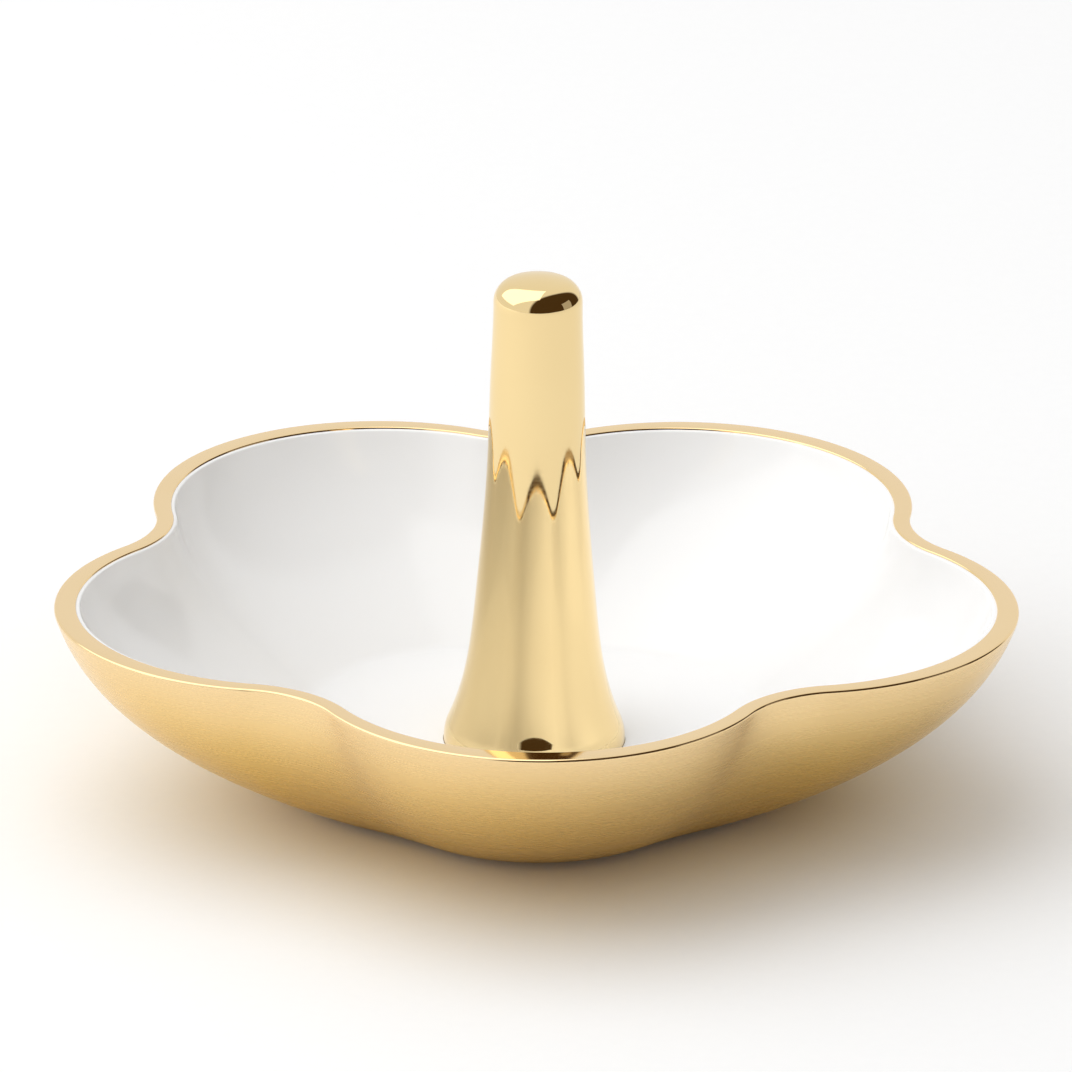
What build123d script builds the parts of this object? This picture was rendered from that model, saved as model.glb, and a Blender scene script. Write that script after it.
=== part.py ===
from build123d import *

import math
import os

# All sizes are in millimetres. The origin is on the post's axis, on the surface the dish stands on.

# Outline of the dish at the rim, seen from above: equal lobes joined by hollow notches
lobe_count = 5
rim_tip_radius = 58.75
rim_notch_depth = 10.4
rim_arc_radius = 12.8
rim_width_at_tip = 2.7
rim_width_at_notch = 2.1
rim_outer_rounding = 0.3
rim_inner_rounding = 0.2

# Wall of the dish, which draws in from the rim to a smaller, softer flower at the base
dish_depth = 24.7
base_tip_radius = 29.5
base_notch_depth = 2.5
base_arc_radius = 60.0
base_edge_rounding = 0.8
floor_thickness = 3.6
floor_crease_radius = 4.1
tip_lean_share = 0.29
notch_lean_share = 0.0
tip_curve_power = 2.3
notch_curve_power = 2.2

# Enamel inside the dish
enamel_thickness = 0.4
enamel_drop = 0.2
enamel_edge_rounding = 0.25
enamel_crease_radius = 4.5
enamel_clearance = 0.05

# Post, with its radii at shares of its height above the enamel
post_height = 58.6
dome_height = 3.1
shoulder_radius = 2.78
top_radius = 5.3
shaft_radius = 5.6
shaft_height_share = 0.785
neck_radius = 5.84
neck_height_share = 0.623
waist_radius = 7.16
waist_height_share = 0.317
flare_radius = 8.27
flare_height_share = 0.1627
ankle_radius = 10.37
ankle_height_share = 0.0444
foot_radius = 10.84
foot_edge_height = 0.4

# Countersunk screw that holds the post from below
screw_radius = 2.0
screw_length = 14.0
screw_head_radius = 4.0
screw_head_edge = 0.2
screw_tip_chamfer = 0.4
socket_radius = 1.4
socket_depth = 1.2
screw_clearance = 0.05
tapped_hole_spare = 2.0
drill_point_share = 0.6

# Felt pad, and the recess under the base that takes it
pad_inset = 3.4
pad_thickness = 1.6
pad_edge_rounding = 0.3
recess_depth = 0.6
recess_clearance = 0.3

# Sections through the wall, and how far a cut runs past what it cuts
section_count = 7
overrun = 1.0

pitch_angle = 360 / lobe_count
half_pitch = math.pi / lobe_count
rim_notch_radius = rim_tip_radius - rim_notch_depth
base_notch_radius = base_tip_radius - base_notch_depth
pad_radius = base_notch_radius - pad_inset
base_height = pad_thickness - recess_depth
rim_height = base_height + dish_depth
metal_floor_height = base_height + floor_thickness
enamel_floor_height = metal_floor_height + enamel_thickness


class WallLine:
    """Outside of the wall in one upright plane. A share of the depth is 0 at the rim and 1 at the base."""

    def __init__(self, rim_radius, base_radius, lean_share, power):
        self.rim_radius = rim_radius
        self.draw_in = rim_radius - base_radius
        self.lean_share = lean_share
        self.power = power

    def radius(self, share):
        """A straight lean and a power curve together, so that the wall is steep at the rim and flat below."""
        curve = share**self.power
        return self.rim_radius - self.draw_in * (self.lean_share * share + (1 - self.lean_share) * curve)

    def slant(self, share):
        """Width of the wall measured level, for each unit of its width measured square to itself."""
        curve_slope = self.power * share ** (self.power - 1)
        slope = self.lean_share + (1 - self.lean_share) * curve_slope
        return math.hypot(dish_depth, self.draw_in * slope) / dish_depth

    def hollow_radius(self, share, rim_width, coat):
        """Inside of the wall, of the width that the rim gives it and with a coat over the metal."""
        width = rim_width / self.slant(0) + coat
        return self.radius(share) - width * self.slant(share)


tip_line = WallLine(rim_tip_radius, base_tip_radius, tip_lean_share, tip_curve_power)
notch_line = WallLine(rim_notch_radius, base_notch_radius, notch_lean_share, notch_curve_power)


def flower_outline(tip_radius, notch_radius, arc_radius, height):
    """Closed flower: each lobe is one arc, and each notch is an arc tangent to the two lobes beside it."""
    reach = tip_radius + arc_radius
    notch_reach = notch_radius + arc_radius
    lobe_reach = (reach**2 - notch_reach**2) / (2 * (reach - notch_reach * math.cos(half_pitch)))
    notch_direction = Vector(math.cos(half_pitch), math.sin(half_pitch))
    lobe_centre = Vector(lobe_reach, 0)
    join = lobe_centre + (notch_direction * notch_reach - lobe_centre).normalized() * (tip_radius - lobe_reach)
    lobe_start = Vector(join.X, -join.Y)
    lobe = ThreePointArc(lobe_start, (tip_radius, 0), join)
    notch = ThreePointArc(join, notch_direction * notch_radius, lobe_start.rotate(Axis.Z, pitch_angle))
    edges = [
        edge.rotate(Axis.Z, index * pitch_angle - 90).translate((0, 0, height))
        for index in range(lobe_count)
        for edge in (lobe, notch)
    ]
    return Wire(edges)


def arc_radius_at(share):
    """Radius of the notch arc, which opens out towards the base."""
    return rim_arc_radius + (base_arc_radius - rim_arc_radius) * share


def wall_outline(share):
    return flower_outline(
        tip_line.radius(share), notch_line.radius(share), arc_radius_at(share), rim_height - share * dish_depth
    )


def hollow_outline(share, coat):
    tip_radius = tip_line.hollow_radius(share, rim_width_at_tip, coat)
    notch_radius = notch_line.hollow_radius(share, rim_width_at_notch, coat)
    wall_width = notch_line.radius(share) - notch_radius
    return flower_outline(
        tip_radius, notch_radius, arc_radius_at(share) + wall_width, rim_height - share * dish_depth
    )


def section_shares(last_share):
    """Shares of the depth where the sections lie, closer together where the wall curls in."""
    step = math.pi / 2 / (section_count - 1)
    return [last_share * math.sin(step * index) for index in range(section_count)]


def hollow_body(coat, floor_height, crease_radius):
    """Solid that fills the inside of the dish, down to a flat floor with a rounded crease."""
    floor_share = (rim_height - floor_height) / dish_depth
    body = Solid.make_loft([hollow_outline(share, coat) for share in section_shares(floor_share)])
    return body.fillet(crease_radius, body.edges().group_by(Axis.Z)[0])


def disc(radius, low, high):
    """Upright cylinder on the post's axis, between two heights."""
    return Pos(0, 0, low) * Cylinder(radius, high - low, align=(Align.CENTER, Align.CENTER, Align.MIN))


def turned(profile):
    """Solid turned about the post's axis from a closed half profile of radius and height."""
    return revolve(Plane.XZ * make_face(profile), Axis.Z)


def screw_body(clearance):
    """Screw with its countersunk head down, grown by a clearance all round."""
    shank = screw_radius + clearance
    head = screw_head_radius + clearance
    low = base_height + recess_depth
    neck = low + screw_head_edge + head - shank
    tip = low + screw_length
    points = [(0, low), (head, low), (head, low + screw_head_edge), (shank, neck)]
    points += [(shank, tip - screw_tip_chamfer), (shank - screw_tip_chamfer, tip), (0, tip)]
    return turned(Polyline(*points, close=True))


def make_dish_shell():
    body = Solid.make_loft([wall_outline(share) for share in section_shares(1)])
    body = body.fillet(base_edge_rounding, body.edges().group_by(Axis.Z)[0])
    metal_hollow = hollow_body(0, metal_floor_height, floor_crease_radius)
    body = body - metal_hollow
    rim = body.faces().sort_by(Axis.Z)[-1]
    body = body.fillet(rim_outer_rounding, rim.outer_wire().edges())
    rim = body.faces().sort_by(Axis.Z)[-1]
    body = body.fillet(rim_inner_rounding, rim.inner_wires()[0].edges())
    recess = disc(pad_radius + recess_clearance, base_height - overrun, base_height + recess_depth)
    return body - recess - screw_body(screw_clearance)


def make_enamel_lining():
    coat = hollow_body(0, metal_floor_height, floor_crease_radius)
    coat -= hollow_body(enamel_thickness, enamel_floor_height, enamel_crease_radius)
    coat -= disc(rim_tip_radius, rim_height - enamel_drop, rim_height + overrun)
    coat -= disc(foot_radius + enamel_clearance, base_height, enamel_floor_height + overrun)
    edge = coat.faces().sort_by(Axis.Z)[-1].inner_wires()[0]
    return coat.fillet(enamel_edge_rounding, edge.edges())


def dome_outline(shoulder_height):
    """Half outline of the low dome: a tight arc over the shoulder, tangent to a wide arc over the crown."""
    crown_height = shoulder_height + dome_height
    shoulder_reach = top_radius - shoulder_radius
    crown_rise = dome_height - shoulder_radius
    crown_radius = (shoulder_reach**2 + dome_height**2 - shoulder_radius**2) / (2 * crown_rise)
    crown_centre = Vector(0, crown_height - crown_radius)
    towards_join = (Vector(shoulder_reach, shoulder_height) - crown_centre).normalized()
    join = crown_centre + towards_join * crown_radius
    shoulder = TangentArc((top_radius, shoulder_height), join, tangent=(0, 1))
    return shoulder + TangentArc(join, (0, crown_height), tangent=shoulder % 1)


def post_point(radius, height_share):
    """Point on the post's outline, at a share of its height above the enamel."""
    return Vector(radius, enamel_floor_height + post_height * height_share)


def make_ring_post():
    """Post with a domed top, a long taper, a flare that turns upright at its foot, and a tapped hole below."""
    ankle = TangentArc(
        (foot_radius, enamel_floor_height + foot_edge_height),
        post_point(ankle_radius, ankle_height_share),
        tangent=(0, 1),
    )
    dome = dome_outline(enamel_floor_height + post_height - dome_height)
    flare = Spline(
        ankle @ 1,
        post_point(flare_radius, flare_height_share),
        post_point(waist_radius, waist_height_share),
        post_point(neck_radius, neck_height_share),
        post_point(shaft_radius, shaft_height_share),
        dome @ 0,
        tangents=(ankle % 1, dome % 0),
    )
    hole_radius = screw_radius + screw_clearance
    hole_height = base_height + recess_depth + screw_length + tapped_hole_spare
    hole = Polyline(
        dome @ 1,
        (0, hole_height + hole_radius * drill_point_share),
        (hole_radius, hole_height),
        (hole_radius, metal_floor_height),
        (foot_radius, metal_floor_height),
        ankle @ 0,
    )
    return turned(ankle + flare + dome + hole)


def make_post_screw():
    socket = extrude(RegularPolygon(socket_radius, side_count=6), socket_depth)
    return screw_body(0) - Pos(0, 0, base_height + recess_depth) * socket


def make_base_pad():
    pad = disc(pad_radius, 0, pad_thickness)
    return fillet(pad.edges().group_by(Axis.Z)[0], pad_edge_rounding)


def main():
    os.makedirs("parts", exist_ok=True)
    export_step(make_dish_shell(), "parts/dish_shell.step")
    export_step(make_enamel_lining(), "parts/enamel_lining.step")
    export_step(make_ring_post(), "parts/ring_post.step")
    export_step(make_post_screw(), "parts/post_screw.step")
    export_step(make_base_pad(), "parts/base_pad.step")


main()
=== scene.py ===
import math

import bmesh
import bpy
import numpy as np
from mathutils import Matrix, Vector


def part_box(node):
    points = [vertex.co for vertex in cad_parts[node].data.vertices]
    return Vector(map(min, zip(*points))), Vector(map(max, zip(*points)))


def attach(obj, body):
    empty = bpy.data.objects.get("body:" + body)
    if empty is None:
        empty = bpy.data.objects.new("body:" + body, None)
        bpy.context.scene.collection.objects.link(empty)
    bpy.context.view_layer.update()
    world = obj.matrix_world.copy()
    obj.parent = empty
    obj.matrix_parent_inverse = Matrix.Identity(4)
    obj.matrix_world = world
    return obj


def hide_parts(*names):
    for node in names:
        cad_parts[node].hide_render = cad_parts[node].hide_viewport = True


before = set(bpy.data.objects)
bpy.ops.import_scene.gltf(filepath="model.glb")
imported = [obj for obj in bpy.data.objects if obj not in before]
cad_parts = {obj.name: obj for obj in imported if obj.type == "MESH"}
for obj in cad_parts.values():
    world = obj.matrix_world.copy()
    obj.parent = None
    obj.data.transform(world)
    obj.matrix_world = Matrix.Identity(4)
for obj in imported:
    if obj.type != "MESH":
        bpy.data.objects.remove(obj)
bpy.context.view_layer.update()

# All sizes are in metres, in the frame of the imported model.
shell_low, shell_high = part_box("dish_shell")
lining_low, lining_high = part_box("enamel_lining")
_, post_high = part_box("ring_post")
screw_low, screw_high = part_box("post_screw")
_, pad_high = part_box("base_pad")

# Outline of the dish: equal lobes joined by hollow notches, one lobe towards the camera
lobe_count = 5
rim_tip_radius = 0.05875
rim_notch_radius = 0.04835
rim_arc_radius = 0.0128
rim_width_at_tip = 0.0027
rim_width_at_notch = 0.0021
rim_outer_rounding = 0.0003
rim_inner_rounding = 0.0002

# Wall of the dish, which draws in from the rim to the base
base_tip_radius = 0.0295
base_notch_radius = 0.027
base_arc_radius = 0.06
base_edge_rounding = 0.0008
floor_crease_radius = 0.0041
tip_lean_share = 0.29
notch_lean_share = 0.0
tip_curve_power = 2.3
notch_curve_power = 2.2

# Enamel inside the dish
enamel_thickness = 0.0004
enamel_edge_rounding = 0.00025
enamel_crease_radius = 0.0045
enamel_clearance = 0.00005

# Post, with its radii at shares of its height above the enamel
dome_height = 0.0031
shoulder_radius = 0.00278
top_radius = 0.0053
shaft_radius = 0.0056
shaft_height_share = 0.785
neck_radius = 0.00584
neck_height_share = 0.623
waist_radius = 0.00716
waist_height_share = 0.317
flare_radius = 0.00827
flare_height_share = 0.1627
ankle_radius = 0.01037
ankle_height_share = 0.0444
foot_edge_height = 0.0004

# Screw's hole, and the recess that takes the felt
hole_radius = 0.00205
head_radius = 0.00405
head_edge = 0.0002
tapped_hole_spare = 0.002
drill_point_share = 0.6
drill_tip_radius = 0.00005
recess_clearance = 0.0003
pad_edge_rounding = 0.0003
felt_unevenness = 0.00004
felt_seed = 5

# How finely the meshes are made
dish_columns = 480
round_columns = 192
wall_rows = 60
curve_rows = 9
dome_rows = 18
flat_rows = 5
flare_rows = 100
felt_rings = 30
felt_smoothings = 12
settling_passes = 40
sharp_angle = math.radians(40)

# Camera, from a fit to the rim and the post in the photograph. Its lens and sensor are in millimetres.
sensor_width = 36
lens_length = 472.5
camera_distance = 1.674
camera_azimuth = math.radians(-90.94)
camera_elevation = math.radians(21.206)
camera_pitch = math.radians(0.164)
camera_roll = math.radians(-0.502)

# Studio: a pale floor, a wide softbox overhead to the left, a small card to the right, and a low panel
# to the left that mirrors don't show. Powers are in watts.
floor_reach = 1.0
softbox_place = Vector((-0.5, 0.05, 0.82))
softbox_width = 1.15
softbox_length = 1.5
softbox_power = 5.2
card_place = Vector((1.0, -0.15, 0.25))
card_size = 0.5
card_power = 0.3
panel_place = Vector((-0.9, -0.2, 0.3))
panel_size = 0.8
panel_power = 1.0

# Room round the dish. Its bright part and its dark part each lie towards a side, and a range says how
# squarely a direction faces that side where the part starts and where it is full.
fill_strength = 0.77
bright_side = Vector((-0.5, -0.1, 0.86))
bright_range = (-0.2, 0.35)
dark_side = Vector((0.8, -0.6, 0.0))
dark_range = (0.2, 0.3)
backdrop_white = (0.9, 0.9, 0.9)
dark_room = (0.065, 0.037, 0.014)
floor_shade = (0.98, 0.98, 0.98)
floor_bounce = (0.2, 0.2, 0.2)
pure_white = (1, 1, 1)

# Gold. A roughness is its lowest and its highest value, and a depth is in metres. The polish fades out
# under the rim's rounding, at a share of its radius, and the brushed turn is a share of a full turn.
gold_rim = (0.91, 0.68, 0.37)
# Painted shade: the dish's colour darkens from the rim gold to this colour near the base, standing in for
# the shadowed floor that the low wall mirrors.
gold_painted_shade_at_base = (0.73, 0.465, 0.03)
gold_pale = (0.92, 0.72, 0.38)
gold_deep = (0.88, 0.67, 0.34)
# Share of the dish's depth above the base, below which the painted shade is full.
painted_shade_share = 0.15
tone_clouds = 0.04
satin_roughness = (0.2376, 0.3024)
rim_roughness = (0.06, 0.096)
post_roughness = (0.03, 0.048)
polish_fade_share = 1.2
brushed_spread = 0.3
brushed_turn = 0.25
brushing_depth = 0.000005
polish_waviness = 0.000008

# Enamel
enamel_white = (0.97, 0.97, 0.97)
enamel_shade = (0.95, 0.95, 0.95)
enamel_roughness = (0.1, 0.15)
enamel_grain_share = 0.02
enamel_waviness = 0.00008
enamel_index = 1.46

# Screw and felt
zinc_dark = (0.46, 0.47, 0.49)
zinc_bright = (0.66, 0.67, 0.68)
zinc_roughness = (0.24, 0.38)
zinc_grain_depth = 0.00003
felt_dark = (0.012, 0.012, 0.013)
felt_lint = (0.085, 0.083, 0.082)
felt_roughness = (0.88, 1)
felt_fibre_depth = 0.00025
felt_sheen = 0.35
felt_sheen_roughness = 0.6

# Patterns. A noise has a scale and a detail, and streaks have a scale round the axis, a scale along
# the profile and a detail. A range is the part of a noise that is spread over a roughness.
noise_range = (0.3, 0.7)
turning_range = (0.35, 0.65)
brushing_streaks = (1.2, 2200, 2)
turning_streaks = (2, 2600, 2)
dish_cloud_noise = (55, 3)
post_cloud_noise = (70, 3)
post_wave_noise = (120, 1)
enamel_run_noise = (40, 2)
enamel_grain_noise = (900, 2)
zinc_noise = (2400, 3)
fibre_noise = (2600, 5)
tuft_noise = (420, 4)
paper_noise = (600, 3)

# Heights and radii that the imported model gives
base_height = shell_low.z
rim_height = shell_high.z
dish_depth = rim_height - base_height
metal_floor_height = lining_low.z
enamel_floor_height = metal_floor_height + enamel_thickness
enamel_top_height = lining_high.z
post_height = post_high.z - enamel_floor_height
foot_radius = post_high.x
recess_height = screw_low.z
pad_radius = pad_high.x

# Half the angle from one lobe to the next, and a quarter of a full turn
half_pitch = math.pi / lobe_count
quarter_turn = math.pi / 2


class WallLine:
    """Outside of the wall in one upright plane. A share of the depth is 0 at the rim and 1 at the base."""

    def __init__(self, rim_radius, base_radius, lean_share, power):
        self.rim_radius = rim_radius
        self.draw_in = rim_radius - base_radius
        self.lean_share = lean_share
        self.power = power

    def radius(self, share):
        """A straight lean and a power curve together: the wall is steep at the rim and flat below."""
        curve = np.maximum(share, 0) ** self.power
        return self.rim_radius - self.draw_in * (self.lean_share * share + (1 - self.lean_share) * curve)

    def slant(self, share):
        """Width of the wall measured level, for each unit of its width measured square to itself."""
        curve_slope = self.power * np.maximum(share, 0) ** (self.power - 1)
        slope = self.lean_share + (1 - self.lean_share) * curve_slope
        return np.hypot(dish_depth, self.draw_in * slope) / dish_depth

    def hollow_radius(self, share, rim_width, coat):
        """Inside of the wall, of the width that the rim gives it and with a coat over the metal."""
        width = rim_width / self.slant(0) + coat
        return self.radius(share) - width * self.slant(share)


tip_line = WallLine(rim_tip_radius, base_tip_radius, tip_lean_share, tip_curve_power)
notch_line = WallLine(rim_notch_radius, base_notch_radius, notch_lean_share, notch_curve_power)


def column_angles(count):
    return np.arange(count) * math.tau / count


def flower_radii(tip_radius, notch_radius, arc_radius):
    """Reach of the flower for each column: each lobe is one arc, each notch an arc tangent to two lobes."""
    reach = tip_radius + arc_radius
    notch_reach = notch_radius + arc_radius
    lobe_reach = (reach**2 - notch_reach**2) / (2 * (reach - notch_reach * math.cos(half_pitch)))
    lobe_radius = tip_radius - lobe_reach
    along = notch_reach * math.cos(half_pitch) - lobe_reach
    across = notch_reach * math.sin(half_pitch)
    to_join = lobe_radius / np.hypot(along, across)
    join_angle = np.arctan2(across * to_join, lobe_reach + along * to_join)
    off_axis = column_angles(dish_columns) + quarter_turn + half_pitch
    off_axis = np.abs(off_axis % (2 * half_pitch) - half_pitch)
    lobe_depth = np.maximum(lobe_radius**2 - (lobe_reach * np.sin(off_axis)) ** 2, 0)
    notch_depth = np.maximum(arc_radius**2 - (notch_reach * np.sin(half_pitch - off_axis)) ** 2, 0)
    lobe = lobe_reach * np.cos(off_axis) + np.sqrt(lobe_depth)
    notch = notch_reach * np.cos(half_pitch - off_axis) - np.sqrt(notch_depth)
    return np.where(off_axis <= join_angle, lobe, notch)


def arc_radius_at(share):
    """Radius of the notch arc, which opens out towards the base."""
    return rim_arc_radius + (base_arc_radius - rim_arc_radius) * share


def outside(height):
    """Radii of the dish's outside at a height, one for each column."""
    share = (rim_height - height) / dish_depth
    return flower_radii(tip_line.radius(share), notch_line.radius(share), arc_radius_at(share))


def hollow(coat):
    """Function that gives the radii of the dish's inside at a height, with a coat over the metal."""

    def radii(height):
        share = (rim_height - height) / dish_depth
        tip_radius = tip_line.hollow_radius(share, rim_width_at_tip, coat)
        notch_radius = notch_line.hollow_radius(share, rim_width_at_notch, coat)
        arc_radius = arc_radius_at(share) + notch_line.radius(share) - notch_radius
        return flower_radii(tip_radius, notch_radius, arc_radius)

    return radii


def ring(radii, height, count=dish_columns):
    """Row of points round the axis. Radius and height are one value, or one for each column."""
    angles = column_angles(count)
    level = np.ones(count)
    return np.stack([radii * np.cos(angles), radii * np.sin(angles), height * level], -1)


def outward(row):
    """Level directions that point out of a row, square to it."""
    along = np.roll(row, -1, 0) - np.roll(row, 1, 0)
    out = np.stack([along[:, 1], -along[:, 0], 0 * along[:, 0]], -1)
    return out / np.linalg.norm(out, axis=1, keepdims=True)


def rounding(radii, plane_height, radius, solid_above, solid_outside=False):
    """Rows of a rounding between a wall and a level plane, from the wall on, and the heights it starts at.

    A crease is the rounded edge of the hollow itself, so there the solid that is rounded is the hollow.
    """
    rise = -1 if solid_above else 1
    side = -1 if solid_outside else 1
    out = outward(ring(radii(plane_height), plane_height))
    squareness = (out * outward(ring(1, 0))).sum(1)
    step = radius / curve_rows
    start_height = plane_height - rise * radius * np.ones(dish_columns)
    for _ in range(settling_passes):
        lean = squareness * (radii(start_height + step) - radii(start_height - step)) / (2 * step)
        settled = plane_height - radius * (rise + side * lean / np.hypot(1, lean))
        start_height = (start_height + settled) / 2
    start = ring(radii(start_height), start_height)
    first_turn = np.arctan2(-side * lean, side)
    rows = []
    for share in np.linspace(0, 1, curve_rows):
        turn = first_turn + (rise * quarter_turn - first_turn) * share
        shift = radius * (np.cos(turn) - side / np.hypot(1, lean))
        row = start + out * shift[:, None]
        row[:, 2] = plane_height - rise * radius + radius * np.sin(turn)
        rows.append(row)
    return rows, start_height


def wall(radii, top, bottom):
    """Rows down a wall between two heights, closer together below, where the wall curls in."""
    turns = np.linspace(0, quarter_turn, wall_rows)[1:-1]
    heights = [top + (bottom - top) * math.sin(turn) for turn in turns]
    return [ring(radii(height), height) for height in heights]


def flat(first, last):
    """Rows across a level face, between two rows."""
    return [first + (last - first) * share for share in np.linspace(0, 1, flat_rows)[1:-1]]


def shell_rows():
    """Closed profile of the metal dish, from the rim's outer edge down the outside, under the base,
    up the hole, over the floor and up the inside."""
    rim_edge, rim_start = rounding(outside, rim_height, rim_outer_rounding, solid_above=False)
    base_edge, base_start = rounding(outside, base_height, base_edge_rounding, solid_above=True)
    crease, crease_start = rounding(hollow(0), metal_floor_height, floor_crease_radius, solid_above=True)
    lip_edge, lip_start = rounding(
        hollow(0), rim_height, rim_inner_rounding, solid_above=False, solid_outside=True
    )
    recess_radius = pad_radius + recess_clearance
    cone_height = recess_height + head_edge + head_radius - hole_radius
    hole = [
        ring(hole_radius, metal_floor_height),
        ring(hole_radius, cone_height),
        ring(head_radius, recess_height + head_edge),
        ring(head_radius, recess_height),
        ring(recess_radius, recess_height),
        ring(recess_radius, base_height),
    ]
    rows = rim_edge[::-1] + wall(outside, rim_start, base_start) + base_edge
    rows += flat(base_edge[-1], hole[-1]) + hole[::-1] + flat(hole[0], crease[-1])
    return rows + crease[::-1] + wall(hollow(0), lip_start, crease_start)[::-1] + lip_edge


def lining_rows():
    """Closed profile of the enamel: down the inside, over the floor and back up along the metal."""
    face = hollow(enamel_thickness)
    edge, edge_start = rounding(
        face, enamel_top_height, enamel_edge_rounding, solid_above=False, solid_outside=True
    )
    crease, crease_start = rounding(face, enamel_floor_height, enamel_crease_radius, solid_above=True)
    back, back_start = rounding(hollow(0), metal_floor_height, floor_crease_radius, solid_above=True)
    collar_radius = foot_radius + enamel_clearance
    collar = [ring(collar_radius, enamel_floor_height), ring(collar_radius, metal_floor_height)]
    rows = edge[::-1] + wall(face, edge_start, crease_start) + crease
    rows += flat(crease[-1], collar[0]) + collar + back[::-1]
    rows += wall(hollow(0), enamel_top_height, back_start)[::-1]
    return rows + [ring(hollow(0)(enamel_top_height), enamel_top_height)]


def smooth_curve(points, first_tangent, last_tangent, count):
    """Points on a cubic spline through the given points, with a direction at each end."""
    points = np.array(points)
    gaps = np.linalg.norm(np.diff(points, axis=0), axis=1)
    knots = np.concatenate([[0], np.cumsum(gaps)])
    size = len(points)
    system = np.eye(size)
    slopes = np.array([first_tangent] + [(0, 0)] * (size - 2) + [last_tangent], float)
    for row in range(1, size - 1):
        before = gaps[row - 1]
        after = gaps[row]
        system[row, row - 1 : row + 2] = after, 2 * (before + after), before
        rise_before = (points[row] - points[row - 1]) / before * after
        rise_after = (points[row + 1] - points[row]) / after * before
        slopes[row] = 3 * (rise_before + rise_after)
    slopes = np.linalg.solve(system, slopes)
    places = np.linspace(0, knots[-1], count)
    piece = np.clip(np.searchsorted(knots, places, side="right") - 1, 0, size - 2)
    gap = gaps[piece][:, None]
    share = (places - knots[piece])[:, None] / gap
    start = points[piece]
    end = points[piece + 1]
    curve = (1 + 2 * share) * (1 - share) ** 2 * start + share**2 * (3 - 2 * share) * end
    return curve + gap * share * (1 - share) * ((1 - share) * slopes[piece] - share * slopes[piece + 1])


def arc_points(centre, radius, first_angle, last_angle, count):
    angles = np.linspace(first_angle, last_angle, count)
    return np.stack([centre[0] + radius * np.cos(angles), centre[1] + radius * np.sin(angles)], -1)


def post_point(radius, height_share):
    """Point on the post's outline, at a share of its height above the enamel."""
    return (radius, enamel_floor_height + post_height * height_share)


def ankle_points():
    """Arc from the foot's upright edge to the ankle, and the angle that it turns through."""
    start_height = enamel_floor_height + foot_edge_height
    end_radius, end_height = post_point(ankle_radius, ankle_height_share)
    draw_in = foot_radius - end_radius
    climb = end_height - start_height
    bend = (draw_in**2 + climb**2) / (2 * draw_in)
    turn = math.asin(climb / bend)
    return arc_points((foot_radius - bend, start_height), bend, 0, turn, curve_rows), turn


def dome_points(shoulder_height):
    """Dome without its first point: a tight arc at the shoulder, tangent to a wide arc at the crown."""
    shoulder_reach = top_radius - shoulder_radius
    crown_rise = dome_height - shoulder_radius
    crown_radius = (shoulder_reach**2 + dome_height**2 - shoulder_radius**2) / (2 * crown_rise)
    crown_centre = post_high.z - crown_radius
    join_angle = math.atan2(shoulder_height - crown_centre, shoulder_reach)
    shoulder = arc_points((shoulder_reach, shoulder_height), shoulder_radius, 0, join_angle, dome_rows)
    crown = arc_points((0, crown_centre), crown_radius, join_angle, quarter_turn, dome_rows)
    return np.concatenate([shoulder[1:], crown[1:-1]])


def post_profile():
    """Radius and height along the post, from its tapped hole over the foot and the flare to the crown."""
    hole_top = screw_high.z + tapped_hole_spare
    hole = [
        (drill_tip_radius, hole_top + (hole_radius - drill_tip_radius) * drill_point_share),
        (hole_radius, hole_top),
        (hole_radius, metal_floor_height),
        (foot_radius, metal_floor_height),
    ]
    ankle, turn = ankle_points()
    shoulder_height = post_high.z - dome_height
    flare = smooth_curve(
        [
            post_point(ankle_radius, ankle_height_share),
            post_point(flare_radius, flare_height_share),
            post_point(waist_radius, waist_height_share),
            post_point(neck_radius, neck_height_share),
            post_point(shaft_radius, shaft_height_share),
            (top_radius, shoulder_height),
        ],
        (-math.sin(turn), math.cos(turn)),
        (0, 1),
        flare_rows,
    )
    return np.concatenate([hole, ankle, flare[1:], dome_points(shoulder_height)])


def turned(profile):
    """Rows round the axis from a profile of radius and height."""
    return [ring(radius, height, round_columns) for radius, height in profile]


def felt_rows():
    """Pad with a soft lower edge, and a face that is a little uneven, as pressed felt is."""
    random = np.random.default_rng(felt_seed)
    lumps = random.normal(size=(felt_rings, round_columns))
    for _ in range(felt_smoothings):
        beside = [np.roll(lumps, way, axis) for axis in (0, 1) for way in (1, -1)]
        lumps = sum(beside) / len(beside)
    lumps = felt_unevenness * np.abs(lumps) / np.abs(lumps).max()
    face_radius = pad_radius - pad_edge_rounding
    radii = np.linspace(face_radius / felt_rings, face_radius, felt_rings)
    rows = [ring(radius, lump, round_columns) for radius, lump in zip(radii, lumps)]
    edge = arc_points((face_radius, pad_edge_rounding), pad_edge_rounding, -quarter_turn, 0, curve_rows)
    return rows + turned(edge[1:]) + turned([(pad_radius, pad_high.z)])


def close_ends(form, ends):
    """Fans over the two open ends of a turned mesh."""
    form.verts.ensure_lookup_table()
    loops = [[form.verts[position] for position in end.tolist()] for end in ends]
    for loop in loops:
        centre = form.verts.new(sum((vert.co for vert in loop), Vector()) / len(loop))
        for first, second in zip(loop, loop[1:] + loop[:1]):
            form.faces.new((first, second, centre))


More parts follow.
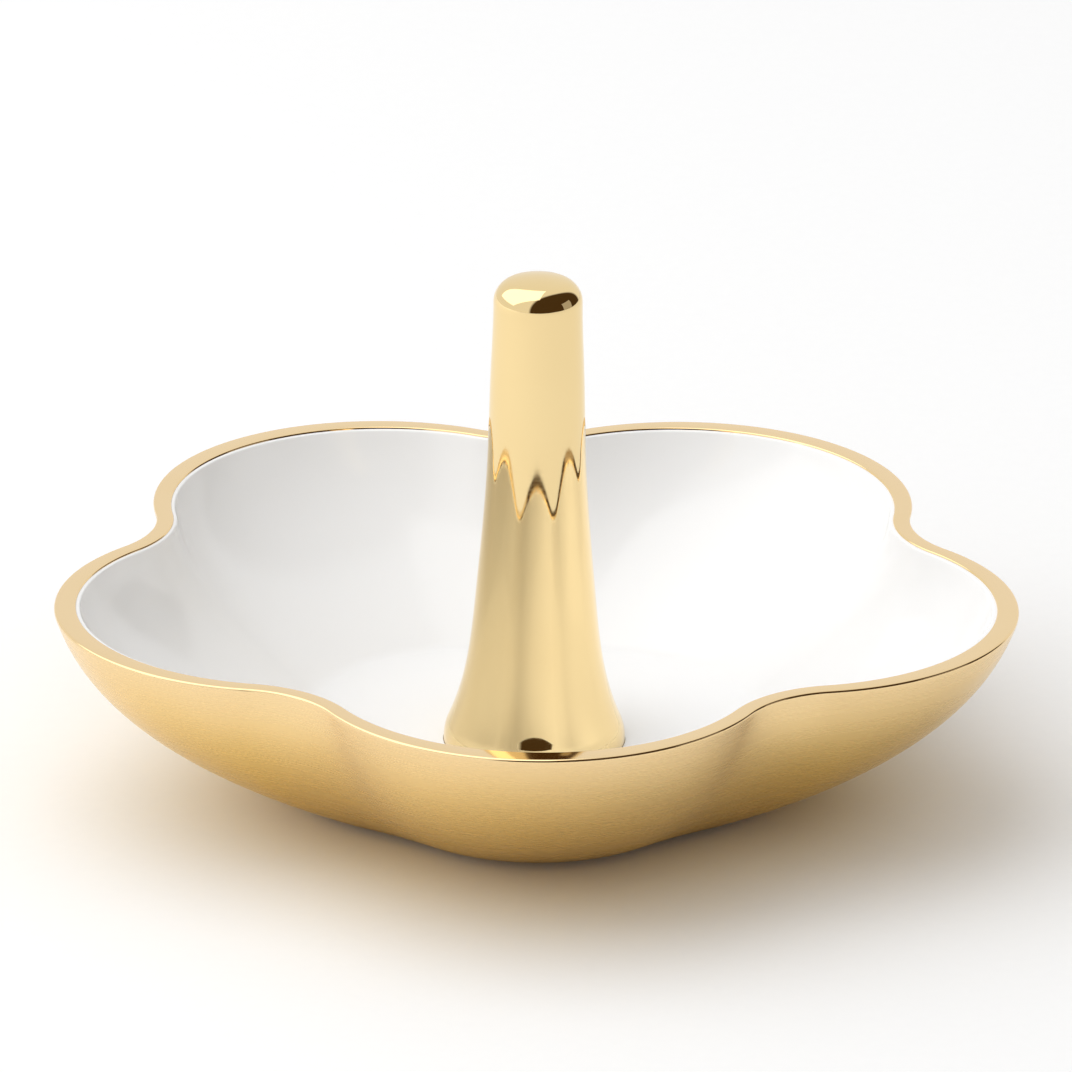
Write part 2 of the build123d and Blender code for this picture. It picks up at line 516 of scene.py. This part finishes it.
def new_piece(name, rows, closed):
    """Smooth closed mesh from rows that run round the axis.

    Closed rows meet again at the first row, and other rows get a fan over each end. In the mesh's
    own coordinates, U is a share of the way round, and V is in metres along the profile.
    """
    points = np.array(rows)
    row_count, column_count = points.shape[:2]
    index = np.arange(row_count * column_count).reshape(row_count, column_count)
    upper = index if closed else index[:-1]
    lower = np.roll(index, -1, 0) if closed else index[1:]
    faces = np.stack([upper, lower, np.roll(lower, -1, 1), np.roll(upper, -1, 1)], -1).reshape(-1, 4)
    lengths = np.linalg.norm(np.roll(points, -1, 0) - points, axis=2).mean(1)
    along = np.concatenate([[0], np.cumsum(lengths)])
    row_of, column_of = np.divmod(np.arange(len(faces)), column_count)
    around = np.stack([column_of, column_of, column_of + 1, column_of + 1], -1) / column_count
    down = along[np.stack([row_of, row_of + 1, row_of + 1, row_of], -1)]
    mesh = bpy.data.meshes.new(name)
    mesh.from_pydata(points.reshape(-1, 3).tolist(), [], faces.tolist())
    layer = mesh.uv_layers.new(name="round_and_along")
    layer.data.foreach_set("uv", np.stack([around, down], -1).reshape(-1))
    form = bmesh.new()
    form.from_mesh(mesh)
    if not closed:
        close_ends(form, (index[0], index[-1]))
    bmesh.ops.recalc_face_normals(form, faces=form.faces)
    form.to_mesh(mesh)
    form.free()
    mesh.shade_smooth()
    mesh.set_sharp_from_angle(angle=sharp_angle)
    piece = bpy.data.objects.new(name, mesh)
    bpy.context.scene.collection.objects.link(piece)
    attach(piece, "root")
    return piece


class Nodes:
    """Short way to build a node tree."""

    def __init__(self, tree):
        self.tree = tree
        tree.nodes.clear()

    def add(self, kind, inputs=(), **settings):
        """New node with its settings, and inputs given as values or as sockets to link."""
        node = self.tree.nodes.new(kind)
        for name, value in settings.items():
            setattr(node, name, value)
        for name, value in dict(inputs).items():
            if isinstance(value, bpy.types.NodeSocket):
                self.tree.links.new(value, node.inputs[name])
            else:
                node.inputs[name].default_value = value
        return node

    def math(self, operation, first, second=0):
        return self.add("ShaderNodeMath", {0: first, 1: second}, operation=operation).outputs[0]

    def vector_math(self, operation, first, second=(0, 0, 0)):
        """Node with a Vector as its result, or a Value for the product of two directions."""
        return self.add("ShaderNodeVectorMath", {0: first, 1: second}, operation=operation)

    def point(self):
        """Place on the piece, in metres."""
        return self.add("ShaderNodeTexCoord").outputs["Object"]

    def separate(self, vector):
        """The three parts of a vector, by the names X, Y and Z."""
        return self.add("ShaderNodeSeparateXYZ", {"Vector": vector}).outputs

    def height(self):
        """Height above the surface that the dish stands on."""
        return self.separate(self.point())["Z"]

    def noise(self, vector, scale, detail):
        inputs = {"Vector": vector, "Scale": scale, "Detail": detail}
        return self.add("ShaderNodeTexNoise", inputs).outputs[0]

    def streaks(self, round_scale, along_scale, detail):
        """Noise drawn out round the axis, fine along the profile."""
        place = self.separate(self.point())
        level = self.add("ShaderNodeCombineXYZ", {"X": place["X"], "Y": place["Y"]}).outputs[0]
        level = self.separate(self.vector_math("NORMALIZE", level).outputs["Vector"])
        along = self.separate(self.add("ShaderNodeTexCoord").outputs["UV"])
        parts = {
            "X": self.math("MULTIPLY", level["X"], round_scale),
            "Y": self.math("MULTIPLY", level["Y"], round_scale),
            "Z": self.math("MULTIPLY", along["Y"], along_scale),
        }
        return self.noise(self.add("ShaderNodeCombineXYZ", parts).outputs[0], 1, detail)

    def spread(self, value, low, high, to_low=0, to_high=1):
        """Value mapped from one range to another, held at its ends."""
        inputs = {"Value": value, "From Min": low, "From Max": high, "To Min": to_low, "To Max": to_high}
        return self.add("ShaderNodeMapRange", inputs).outputs[0]

    def blend(self, share, first, second):
        """Colour between two colours."""
        ramp = self.add("ShaderNodeValToRGB", {"Fac": share})
        ramp.color_ramp.elements[0].color = (*first, 1)
        ramp.color_ramp.elements[1].color = (*second, 1)
        return ramp.outputs[0]

    def background(self, colour, strength=1):
        return self.add("ShaderNodeBackground", {"Color": colour, "Strength": strength}).outputs[0]

    def mix(self, share, first, second):
        """Shader between two shaders."""
        return self.add("ShaderNodeMixShader", {0: share, 1: first, 2: second}).outputs[0]

    def bump(self, height, distance):
        inputs = {"Height": height, "Distance": distance, "Strength": 1}
        return self.add("ShaderNodeBump", inputs).outputs[0]


def new_material(name, fill):
    """Material whose shader inputs come from a function of its node tree."""
    material = bpy.data.materials.new(name)
    material.use_nodes = True
    nodes = Nodes(material.node_tree)
    shader = nodes.add("ShaderNodeBsdfPrincipled", fill(nodes))
    nodes.add("ShaderNodeOutputMaterial", {"Surface": shader.outputs[0]})
    return material


def dish_gold(nodes):
    """Gold plate with a satin brushed wall and a polished rim. Its colour is painted darker towards the
    base: painted shade, standing in for the shadowed floor that the low wall mirrors.
    """
    brushing = nodes.streaks(*brushing_streaks)
    clouds = nodes.noise(nodes.point(), *dish_cloud_noise)
    polish_low = rim_height - rim_outer_rounding * polish_fade_share
    polish = nodes.spread(nodes.height(), polish_low, rim_height - rim_outer_rounding)
    satin = nodes.spread(brushing, *noise_range, *satin_roughness)
    mirror = nodes.spread(clouds, *noise_range, *rim_roughness)
    gap = nodes.math("SUBTRACT", mirror, satin)
    roughness = nodes.math("ADD", satin, nodes.math("MULTIPLY", gap, polish))
    grooves = nodes.math("MULTIPLY", brushing, nodes.math("SUBTRACT", 1, polish))
    # Painted shade: the colour darkens from the rim towards the base, standing in for the shadowed floor
    # that the low wall mirrors, with a little random tone on top.
    tone = nodes.spread(nodes.height(), base_height + painted_shade_share * dish_depth, rim_height)
    tone = nodes.math("ADD", tone, nodes.spread(clouds, *noise_range, -tone_clouds, tone_clouds))
    tangent = nodes.add("ShaderNodeTangent", direction_type="UV_MAP", uv_map="round_and_along")
    return {
        "Base Color": nodes.blend(tone, gold_painted_shade_at_base, gold_rim),
        "Metallic": 1,
        "Roughness": roughness,
        "Normal": nodes.bump(grooves, brushing_depth),
        "Anisotropic": brushed_spread,
        "Anisotropic Rotation": brushed_turn,
        "Tangent": tangent.outputs[0],
    }


def post_gold(nodes):
    """Gold plate polished to a mirror, with the faintest waviness and fine turning lines."""
    turning = nodes.streaks(*turning_streaks)
    clouds = nodes.noise(nodes.point(), *post_cloud_noise)
    wave = nodes.noise(nodes.point(), *post_wave_noise)
    return {
        "Base Color": nodes.blend(clouds, gold_deep, gold_pale),
        "Metallic": 1,
        "Roughness": nodes.spread(turning, *turning_range, *post_roughness),
        "Normal": nodes.bump(wave, polish_waviness),
    }


def white_enamel(nodes):
    """Fired enamel, glossy and very slightly uneven where it ran as it melted."""
    run = nodes.noise(nodes.point(), *enamel_run_noise)
    grain = nodes.noise(nodes.point(), *enamel_grain_noise)
    height = nodes.math("ADD", run, nodes.math("MULTIPLY", grain, enamel_grain_share))
    return {
        "Base Color": nodes.blend(run, enamel_shade, enamel_white),
        "Roughness": nodes.spread(grain, *noise_range, *enamel_roughness),
        "Normal": nodes.bump(height, enamel_waviness),
        "IOR": enamel_index,
    }


def zinc_steel(nodes):
    """Zinc plated steel with a fine dull grain."""
    grain = nodes.noise(nodes.point(), *zinc_noise)
    return {
        "Base Color": nodes.blend(grain, zinc_dark, zinc_bright),
        "Metallic": 1,
        "Roughness": nodes.spread(grain, *noise_range, *zinc_roughness),
        "Normal": nodes.bump(grain, zinc_grain_depth),
    }


def black_felt(nodes):
    """Pressed wool felt: matted fibres with lint between them."""
    fibres = nodes.noise(nodes.point(), *fibre_noise)
    tufts = nodes.noise(nodes.point(), *tuft_noise)
    height = nodes.math("ADD", fibres, tufts)
    return {
        "Base Color": nodes.blend(fibres, felt_dark, felt_lint),
        "Roughness": nodes.spread(tufts, *noise_range, *felt_roughness),
        "Normal": nodes.bump(height, felt_fibre_depth),
        "Sheen Weight": felt_sheen,
        "Sheen Roughness": felt_sheen_roughness,
    }


def mirrored(nodes, path):
    """One for what metal and glass mirror or pass on, and nothing for the rest."""
    return nodes.math("MAXIMUM", path.outputs["Is Glossy Ray"], path.outputs["Is Transmission Ray"])


def make_floor():
    """Pale floor that keeps the dish's shadow, and is white where it is seen, straight or in a mirror."""
    mesh = bpy.data.meshes.new("floor")
    corners = [(-floor_reach, -floor_reach, 0), (floor_reach, -floor_reach, 0)]
    corners += [(floor_reach, floor_reach, 0), (-floor_reach, floor_reach, 0)]
    mesh.from_pydata(corners, [], [range(len(corners))])
    material = bpy.data.materials.new("floor")
    material.use_nodes = True
    nodes = Nodes(material.node_tree)
    path = nodes.add("ShaderNodeLightPath")
    seen = nodes.math("MAXIMUM", path.outputs["Is Camera Ray"], mirrored(nodes, path))
    paper = nodes.blend(nodes.noise(nodes.point(), *paper_noise), floor_shade, pure_white)
    tone = nodes.vector_math("MULTIPLY", paper, nodes.blend(seen, floor_bounce, pure_white))
    paint = nodes.add("ShaderNodeBsdfDiffuse", {"Color": tone.outputs["Vector"]})
    nodes.add("ShaderNodeOutputMaterial", {"Surface": paint.outputs[0]})
    mesh.materials.append(material)
    floor = bpy.data.objects.new("floor", mesh)
    bpy.context.scene.collection.objects.link(floor)


def make_world():
    """White to the camera, a pale backdrop and a dark room to mirrors, and soft light to the rest."""
    world = bpy.data.worlds.new("studio")
    bpy.context.scene.world = world
    world.use_nodes = True
    nodes = Nodes(world.node_tree)
    path = nodes.add("ShaderNodeLightPath")
    towards = nodes.add("ShaderNodeTexCoord").outputs["Generated"]

    def facing(side, low, high, most=1):
        """Rises from nothing to the most as a direction turns towards a side."""
        share = nodes.vector_math("DOT_PRODUCT", towards, side).outputs["Value"]
        return nodes.spread(share, low, high, 0, most)

    room = nodes.blend(facing(dark_side, *dark_range), backdrop_white, dark_room)
    overhead = facing(bright_side, *bright_range, fill_strength)
    fill = nodes.background((*pure_white, 1), overhead)
    unseen = nodes.mix(mirrored(nodes, path), fill, nodes.background(room))
    whole = nodes.mix(path.outputs["Is Camera Ray"], unseen, nodes.background((*pure_white, 1)))
    nodes.add("ShaderNodeOutputWorld", {"Surface": whole})


def make_lamp(name, place, width, length, power):
    """Soft rectangular lamp aimed at the middle of the rim."""
    data = bpy.data.lights.new(name, "AREA")
    data.shape = "RECTANGLE"
    data.size = width
    data.size_y = length
    data.energy = power
    lamp = bpy.data.objects.new(name, data)
    towards = Vector((0, 0, rim_height)) - place
    turn = towards.to_track_quat("-Z", "Y").to_matrix().to_4x4()
    lamp.matrix_world = Matrix.Translation(place) @ turn
    bpy.context.scene.collection.objects.link(lamp)
    return lamp


def make_camera():
    """Camera aimed at the middle of the rim, then turned a little to frame it as the photograph does."""
    target = Vector((0, 0, rim_height))
    level = Vector((math.cos(camera_azimuth), math.sin(camera_azimuth), 0))
    away = level * math.cos(camera_elevation) + Vector((0, 0, math.sin(camera_elevation)))
    right = (-away).cross(Vector((0, 0, 1))).normalized()
    forward = Matrix.Rotation(camera_pitch, 3, right) @ -away
    right = Matrix.Rotation(camera_roll, 3, forward) @ right
    turn = Matrix((right, right.cross(forward), -forward)).transposed().to_4x4()
    data = bpy.data.cameras.new("camera")
    data.sensor_width = sensor_width
    data.lens = lens_length
    camera = bpy.data.objects.new("camera", data)
    camera.matrix_world = Matrix.Translation(target + away * camera_distance) @ turn
    bpy.context.scene.collection.objects.link(camera)
    bpy.context.scene.camera = camera


def dress(piece, name, fill):
    """Gives a piece one new material in place of what it has."""
    piece.data.materials.clear()
    piece.data.materials.append(new_material(name, fill))


make_camera()
make_world()
make_floor()
make_lamp("softbox", softbox_place, softbox_width, softbox_length, softbox_power)
make_lamp("side_card", card_place, card_size, card_size, card_power)
left_panel = make_lamp("left_panel", panel_place, panel_size, panel_size, panel_power)
left_panel.visible_glossy = False

shell = new_piece("dish_metal", shell_rows(), closed=True)
lining = new_piece("dish_enamel", lining_rows(), closed=True)
post = new_piece("post_gold", turned(post_profile()), closed=False)
felt = new_piece("felt_pad", felt_rows(), closed=False)
dress(shell, "dish_gold", dish_gold)
dress(lining, "white_enamel", white_enamel)
dress(post, "post_gold", post_gold)
dress(felt, "black_felt", black_felt)
dress(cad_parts["post_screw"], "zinc_steel", zinc_steel)
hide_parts("dish_shell")
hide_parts("enamel_lining")
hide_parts("ring_post")
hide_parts("base_pad")

bpy.context.scene.view_settings.view_transform = "Standard"
